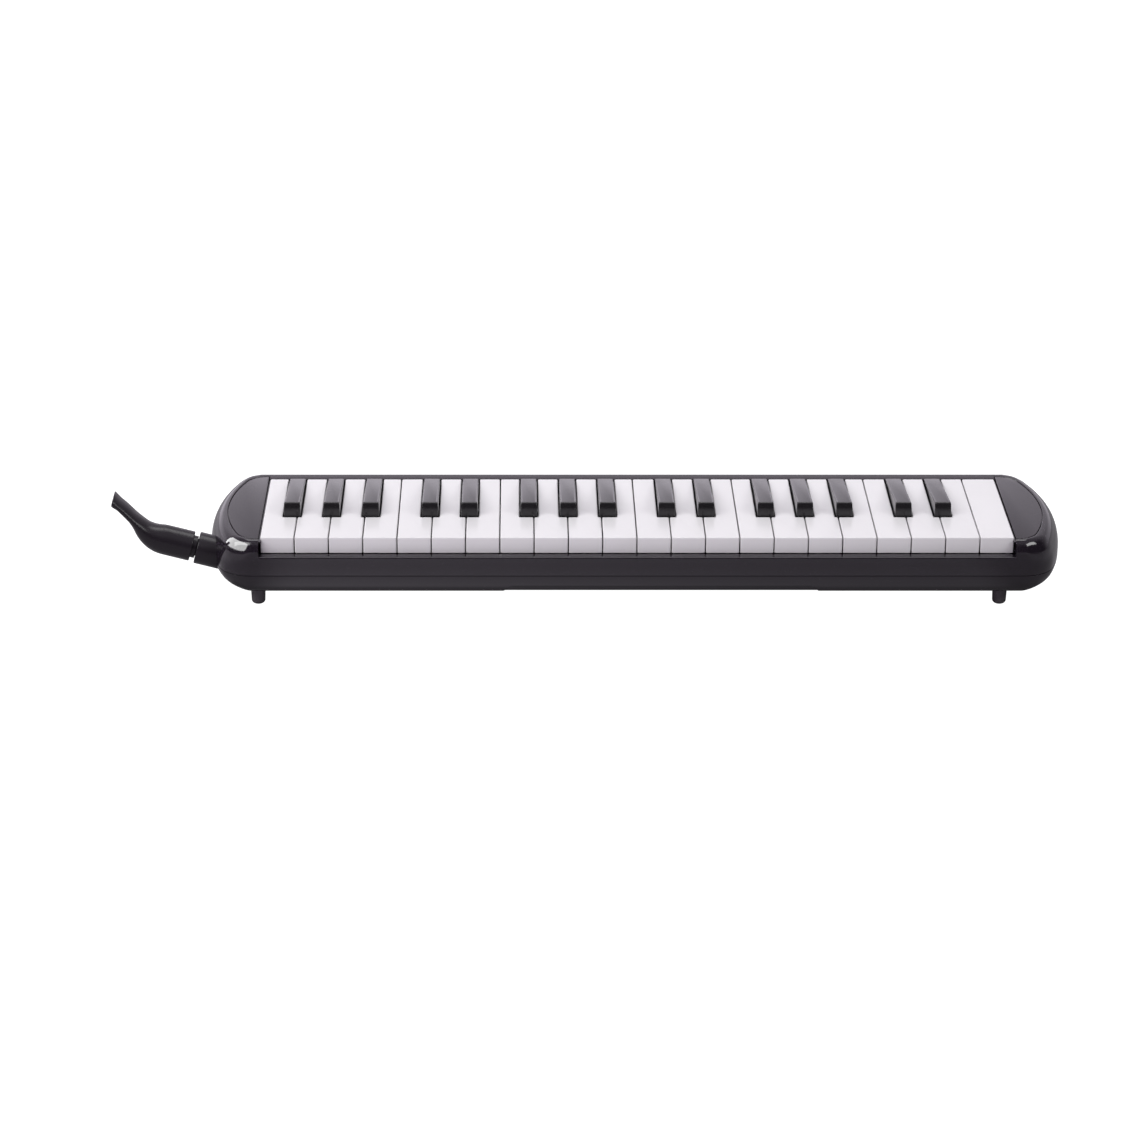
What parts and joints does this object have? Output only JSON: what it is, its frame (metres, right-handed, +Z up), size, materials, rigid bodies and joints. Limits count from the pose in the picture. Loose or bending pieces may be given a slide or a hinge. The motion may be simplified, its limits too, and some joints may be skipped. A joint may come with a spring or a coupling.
{
  "type": "melodica",
  "caption": "Melodica: a small wind keyboard in a rounded two-shell case with rocking keys, a bent mouthpiece, feet and a hand strap.",
  "frame": {"origin": "on the standing surface, under the middle of the whole instrument's bounding box", "axes": "+Z up, +X along the keyboard towards the high notes, -Y towards the player's fingers"},
  "size_m": [0.5322, 0.1046, 0.0619],
  "materials": {
    "case_black": "polished black ABS",
    "panel_grey": "satin black ABS",
    "key_white": "polished white ABS",
    "key_black": "satin black ABS",
    "part_black": "satin black ABS",
    "chamber_grey": "moulded grey ABS",
    "steel": "drawn steel",
    "brass": "rolled brass",
    "felt": "pressed felt",
    "rubber": "moulded rubber",
    "webbing": "woven webbing"
  },
  "bodies": {
    "case": {"upper_case": "case_black", "lower_case": "case_black", "right_end_panel": "panel_grey", "left_end_panel": "panel_grey", "key_shaft": "steel", "spring_comb": "steel", "key_stop_felt": "felt", "valve_plate": "chamber_grey", "air_chamber": "chamber_grey", "reed_plate_low": "brass", "reed_plate_high": "brass", "blow_socket": "part_black", "foot_front_left": "rubber", "foot_front_right": "rubber", "foot_back_left": "rubber", "foot_back_right": "rubber", "strap_anchor_left": "part_black", "strap_anchor_right": "part_black", "hand_strap": "webbing", "drain_spring": "steel"},
    "key_f3": {"key_f3": "key_white"},
    "key_f3_sharp": {"key_f3_sharp": "key_black"},
    "key_g3": {"key_g3": "key_white"},
    "key_g3_sharp": {"key_g3_sharp": "key_black"},
    "key_a3": {"key_a3": "key_white"},
    "key_a3_sharp": {"key_a3_sharp": "key_black"},
    "key_b3": {"key_b3": "key_white"},
    "key_c4": {"key_c4": "key_white"},
    "key_c4_sharp": {"key_c4_sharp": "key_black"},
    "key_d4": {"key_d4": "key_white"},
    "key_d4_sharp": {"key_d4_sharp": "key_black"},
    "key_e4": {"key_e4": "key_white"},
    "key_f4": {"key_f4": "key_white"},
    "key_f4_sharp": {"key_f4_sharp": "key_black"},
    "key_g4": {"key_g4": "key_white"},
    "key_g4_sharp": {"key_g4_sharp": "key_black"},
    "key_a4": {"key_a4": "key_white"},
    "key_a4_sharp": {"key_a4_sharp": "key_black"},
    "key_b4": {"key_b4": "key_white"},
    "key_c5": {"key_c5": "key_white"},
    "key_c5_sharp": {"key_c5_sharp": "key_black"},
    "key_d5": {"key_d5": "key_white"},
    "key_d5_sharp": {"key_d5_sharp": "key_black"},
    "key_e5": {"key_e5": "key_white"},
    "key_f5": {"key_f5": "key_white"},
    "key_f5_sharp": {"key_f5_sharp": "key_black"},
    "key_g5": {"key_g5": "key_white"},
    "key_g5_sharp": {"key_g5_sharp": "key_black"},
    "key_a5": {"key_a5": "key_white"},
    "key_a5_sharp": {"key_a5_sharp": "key_black"},
    "key_b5": {"key_b5": "key_white"},
    "key_c6": {"key_c6": "key_white"},
    "key_c6_sharp": {"key_c6_sharp": "key_black"},
    "key_d6": {"key_d6": "key_white"},
    "key_d6_sharp": {"key_d6_sharp": "key_black"},
    "key_e6": {"key_e6": "key_white"},
    "key_f6": {"key_f6": "key_white"},
    "plug_ring": {"plug_ring": "rubber"},
    "mouthpiece": {"mouthpiece": "part_black"},
    "drain_button": {"drain_button": "part_black"}
  },
  "joints": [
    {"name": "mouthpiece_pull", "type": "slide", "parent": "case", "child": "plug_ring", "axis": [-0.9668, 0, 0.2554], "range_m": [0, 0.03]},
    {"name": "mouthpiece_turn", "type": "hinge", "parent": "plug_ring", "child": "mouthpiece", "pos_m": [-0.2102, -0.02435, 0.0266], "axis": [-0.9668, 0, 0.2554], "continuous": true},
    {"name": "drain_press", "type": "slide", "parent": "case", "child": "drain_button", "axis": [0, 0, 1], "range_m": [0, 0.002], "stiffness_N_per_m": 600, "springref_m": -0.001, "deforming": ["drain_spring"]},
    {"name": "key_f3_press", "type": "hinge", "parent": "case", "child": "key_f3", "pos_m": [-0.17286, 0.02065, 0.0324], "axis": [1, 0, 0], "range_deg": [0, 4.27], "stiffness_Nm_per_rad": 0.15, "springref_deg": -5.73, "deforming": ["spring_comb"]},
    {"name": "key_f3_sharp_press", "type": "hinge", "parent": "case", "child": "key_f3_sharp", "pos_m": [-0.16616, 0.02065, 0.0324], "axis": [1, 0, 0], "range_deg": [0, 5.5], "stiffness_Nm_per_rad": 0.15, "springref_deg": -5.73, "deforming": ["spring_comb"]},
    {"name": "key_g3_press", "type": "hinge", "parent": "case", "child": "key_g3", "pos_m": [-0.15386, 0.02065, 0.0324], "axis": [1, 0, 0], "range_deg": [0, 4.27], "stiffness_Nm_per_rad": 0.15, "springref_deg": -5.73, "deforming": ["spring_comb"]},
    {"name": "key_g3_sharp_press", "type": "hinge", "parent": "case", "child": "key_g3_sharp", "pos_m": [-0.14406, 0.02065, 0.0324], "axis": [1, 0, 0], "range_deg": [0, 5.5], "stiffness_Nm_per_rad": 0.15, "springref_deg": -5.73, "deforming": ["spring_comb"]},
    {"name": "key_a3_press", "type": "hinge", "parent": "case", "child": "key_a3", "pos_m": [-0.13486, 0.02065, 0.0324], "axis": [1, 0, 0], "range_deg": [0, 4.27], "stiffness_Nm_per_rad": 0.15, "springref_deg": -5.73, "deforming": ["spring_comb"]},
    {"name": "key_a3_sharp_press", "type": "hinge", "parent": "case", "child": "key_a3_sharp", "pos_m": [-0.12196, 0.02065, 0.0324], "axis": [1, 0, 0], "range_deg": [0, 5.5], "stiffness_Nm_per_rad": 0.15, "springref_deg": -5.73, "deforming": ["spring_comb"]},
    {"name": "key_b3_press", "type": "hinge", "parent": "case", "child": "key_b3", "pos_m": [-0.11586, 0.02065, 0.0324], "axis": [1, 0, 0], "range_deg": [0, 4.27], "stiffness_Nm_per_rad": 0.15, "springref_deg": -5.73, "deforming": ["spring_comb"]},
    {"name": "key_c4_press", "type": "hinge", "parent": "case", "child": "key_c4", "pos_m": [-0.09686, 0.02065, 0.0324], "axis": [1, 0, 0], "range_deg": [0, 4.27], "stiffness_Nm_per_rad": 0.15, "springref_deg": -5.73, "deforming": ["spring_comb"]},
    {"name": "key_c4_sharp_press", "type": "hinge", "parent": "case", "child": "key_c4_sharp", "pos_m": [-0.08876, 0.02065, 0.0324], "axis": [1, 0, 0], "range_deg": [0, 5.5], "stiffness_Nm_per_rad": 0.15, "springref_deg": -5.73, "deforming": ["spring_comb"]},
    {"name": "key_d4_press", "type": "hinge", "parent": "case", "child": "key_d4", "pos_m": [-0.07786, 0.02065, 0.0324], "axis": [1, 0, 0], "range_deg": [0, 4.27], "stiffness_Nm_per_rad": 0.15, "springref_deg": -5.73, "deforming": ["spring_comb"]},
    {"name": "key_d4_sharp_press", "type": "hinge", "parent": "case", "child": "key_d4_sharp", "pos_m": [-0.06656, 0.02065, 0.0324], "axis": [1, 0, 0], "range_deg": [0, 5.5], "stiffness_Nm_per_rad": 0.15, "springref_deg": -5.73, "deforming": ["spring_comb"]},
    {"name": "key_e4_press", "type": "hinge", "parent": "case", "child": "key_e4", "pos_m": [-0.05886, 0.02065, 0.0324], "axis": [1, 0, 0], "range_deg": [0, 4.27], "stiffness_Nm_per_rad": 0.15, "springref_deg": -5.73, "deforming": ["spring_comb"]},
    {"name": "key_f4_press", "type": "hinge", "parent": "case", "child": "key_f4", "pos_m": [-0.03986, 0.02065, 0.0324], "axis": [1, 0, 0], "range_deg": [0, 4.27], "stiffness_Nm_per_rad": 0.15, "springref_deg": -5.73, "deforming": ["spring_comb"]},
    {"name": "key_f4_sharp_press", "type": "hinge", "parent": "case", "child": "key_f4_sharp", "pos_m": [-0.03316, 0.02065, 0.0324], "axis": [1, 0, 0], "range_deg": [0, 5.5], "stiffness_Nm_per_rad": 0.15, "springref_deg": -5.73, "deforming": ["spring_comb"]},
    {"name": "key_g4_press", "type": "hinge", "parent": "case", "child": "key_g4", "pos_m": [-0.02086, 0.02065, 0.0324], "axis": [1, 0, 0], "range_deg": [0, 4.27], "stiffness_Nm_per_rad": 0.15, "springref_deg": -5.73, "deforming": ["spring_comb"]},
    {"name": "key_g4_sharp_press", "type": "hinge", "parent": "case", "child": "key_g4_sharp", "pos_m": [-0.01106, 0.02065, 0.0324], "axis": [1, 0, 0], "range_deg": [0, 5.5], "stiffness_Nm_per_rad": 0.15, "springref_deg": -5.73, "deforming": ["spring_comb"]},
    {"name": "key_a4_press", "type": "hinge", "parent": "case", "child": "key_a4", "pos_m": [-0.00186, 0.02065, 0.0324], "axis": [1, 0, 0], "range_deg": [0, 4.27], "stiffness_Nm_per_rad": 0.15, "springref_deg": -5.73, "deforming": ["spring_comb"]},
    {"name": "key_a4_sharp_press", "type": "hinge", "parent": "case", "child": "key_a4_sharp", "pos_m": [0.01104, 0.02065, 0.0324], "axis": [1, 0, 0], "range_deg": [0, 5.5], "stiffness_Nm_per_rad": 0.15, "springref_deg": -5.73, "deforming": ["spring_comb"]},
    {"name": "key_b4_press", "type": "hinge", "parent": "case", "child": "key_b4", "pos_m": [0.01714, 0.02065, 0.0324], "axis": [1, 0, 0], "range_deg": [0, 4.27], "stiffness_Nm_per_rad": 0.15, "springref_deg": -5.73, "deforming": ["spring_comb"]},
    {"name": "key_c5_press", "type": "hinge", "parent": "case", "child": "key_c5", "pos_m": [0.03614, 0.02065, 0.0324], "axis": [1, 0, 0], "range_deg": [0, 4.27], "stiffness_Nm_per_rad": 0.15, "springref_deg": -5.73, "deforming": ["spring_comb"]},
    {"name": "key_c5_sharp_press", "type": "hinge", "parent": "case", "child": "key_c5_sharp", "pos_m": [0.04424, 0.02065, 0.0324], "axis": [1, 0, 0], "range_deg": [0, 5.5], "stiffness_Nm_per_rad": 0.15, "springref_deg": -5.73, "deforming": ["spring_comb"]},
    {"name": "key_d5_press", "type": "hinge", "parent": "case", "child": "key_d5", "pos_m": [0.05514, 0.02065, 0.0324], "axis": [1, 0, 0], "range_deg": [0, 4.27], "stiffness_Nm_per_rad": 0.15, "springref_deg": -5.73, "deforming": ["spring_comb"]},
    {"name": "key_d5_sharp_press", "type": "hinge", "parent": "case", "child": "key_d5_sharp", "pos_m": [0.06644, 0.02065, 0.0324], "axis": [1, 0, 0], "range_deg": [0, 5.5], "stiffness_Nm_per_rad": 0.15, "springref_deg": -5.73, "deforming": ["spring_comb"]},
    {"name": "key_e5_press", "type": "hinge", "parent": "case", "child": "key_e5", "pos_m": [0.07414, 0.02065, 0.0324], "axis": [1, 0, 0], "range_deg": [0, 4.27], "stiffness_Nm_per_rad": 0.15, "springref_deg": -5.73, "deforming": ["spring_comb"]},
    {"name": "key_f5_press", "type": "hinge", "parent": "case", "child": "key_f5", "pos_m": [0.09314, 0.02065, 0.0324], "axis": [1, 0, 0], "range_deg": [0, 4.27], "stiffness_Nm_per_rad": 0.15, "springref_deg": -5.73, "deforming": ["spring_comb"]},
    {"name": "key_f5_sharp_press", "type": "hinge", "parent": "case", "child": "key_f5_sharp", "pos_m": [0.09984, 0.02065, 0.0324], "axis": [1, 0, 0], "range_deg": [0, 5.5], "stiffness_Nm_per_rad": 0.15, "springref_deg": -5.73, "deforming": ["spring_comb"]},
    {"name": "key_g5_press", "type": "hinge", "parent": "case", "child": "key_g5", "pos_m": [0.11214, 0.02065, 0.0324], "axis": [1, 0, 0], "range_deg": [0, 4.27], "stiffness_Nm_per_rad": 0.15, "springref_deg": -5.73, "deforming": ["spring_comb"]},
    {"name": "key_g5_sharp_press", "type": "hinge", "parent": "case", "child": "key_g5_sharp", "pos_m": [0.12194, 0.02065, 0.0324], "axis": [1, 0, 0], "range_deg": [0, 5.5], "stiffness_Nm_per_rad": 0.15, "springref_deg": -5.73, "deforming": ["spring_comb"]},
    {"name": "key_a5_press", "type": "hinge", "parent": "case", "child": "key_a5", "pos_m": [0.13114, 0.02065, 0.0324], "axis": [1, 0, 0], "range_deg": [0, 4.27], "stiffness_Nm_per_rad": 0.15, "springref_deg": -5.73, "deforming": ["spring_comb"]},
    {"name": "key_a5_sharp_press", "type": "hinge", "parent": "case", "child": "key_a5_sharp", "pos_m": [0.14404, 0.02065, 0.0324], "axis": [1, 0, 0], "range_deg": [0, 5.5], "stiffness_Nm_per_rad": 0.15, "springref_deg": -5.73, "deforming": ["spring_comb"]},
    {"name": "key_b5_press", "type": "hinge", "parent": "case", "child": "key_b5", "pos_m": [0.15014, 0.02065, 0.0324], "axis": [1, 0, 0], "range_deg": [0, 4.27], "stiffness_Nm_per_rad": 0.15, "springref_deg": -5.73, "deforming": ["spring_comb"]},
    {"name": "key_c6_press", "type": "hinge", "parent": "case", "child": "key_c6", "pos_m": [0.16914, 0.02065, 0.0324], "axis": [1, 0, 0], "range_deg": [0, 4.27], "stiffness_Nm_per_rad": 0.15, "springref_deg": -5.73, "deforming": ["spring_comb"]},
    {"name": "key_c6_sharp_press", "type": "hinge", "parent": "case", "child": "key_c6_sharp", "pos_m": [0.17724, 0.02065, 0.0324], "axis": [1, 0, 0], "range_deg": [0, 5.5], "stiffness_Nm_per_rad": 0.15, "springref_deg": -5.73, "deforming": ["spring_comb"]},
    {"name": "key_d6_press", "type": "hinge", "parent": "case", "child": "key_d6", "pos_m": [0.18814, 0.02065, 0.0324], "axis": [1, 0, 0], "range_deg": [0, 4.27], "stiffness_Nm_per_rad": 0.15, "springref_deg": -5.73, "deforming": ["spring_comb"]},
    {"name": "key_d6_sharp_press", "type": "hinge", "parent": "case", "child": "key_d6_sharp", "pos_m": [0.19944, 0.02065, 0.0324], "axis": [1, 0, 0], "range_deg": [0, 5.5], "stiffness_Nm_per_rad": 0.15, "springref_deg": -5.73, "deforming": ["spring_comb"]},
    {"name": "key_e6_press", "type": "hinge", "parent": "case", "child": "key_e6", "pos_m": [0.20714, 0.02065, 0.0324], "axis": [1, 0, 0], "range_deg": [0, 4.27], "stiffness_Nm_per_rad": 0.15, "springref_deg": -5.73, "deforming": ["spring_comb"]},
    {"name": "key_f6_press", "type": "hinge", "parent": "case", "child": "key_f6", "pos_m": [0.22614, 0.02065, 0.0324], "axis": [1, 0, 0], "range_deg": [0, 4.27], "stiffness_Nm_per_rad": 0.15, "springref_deg": -5.73, "deforming": ["spring_comb"]}
  ]
}
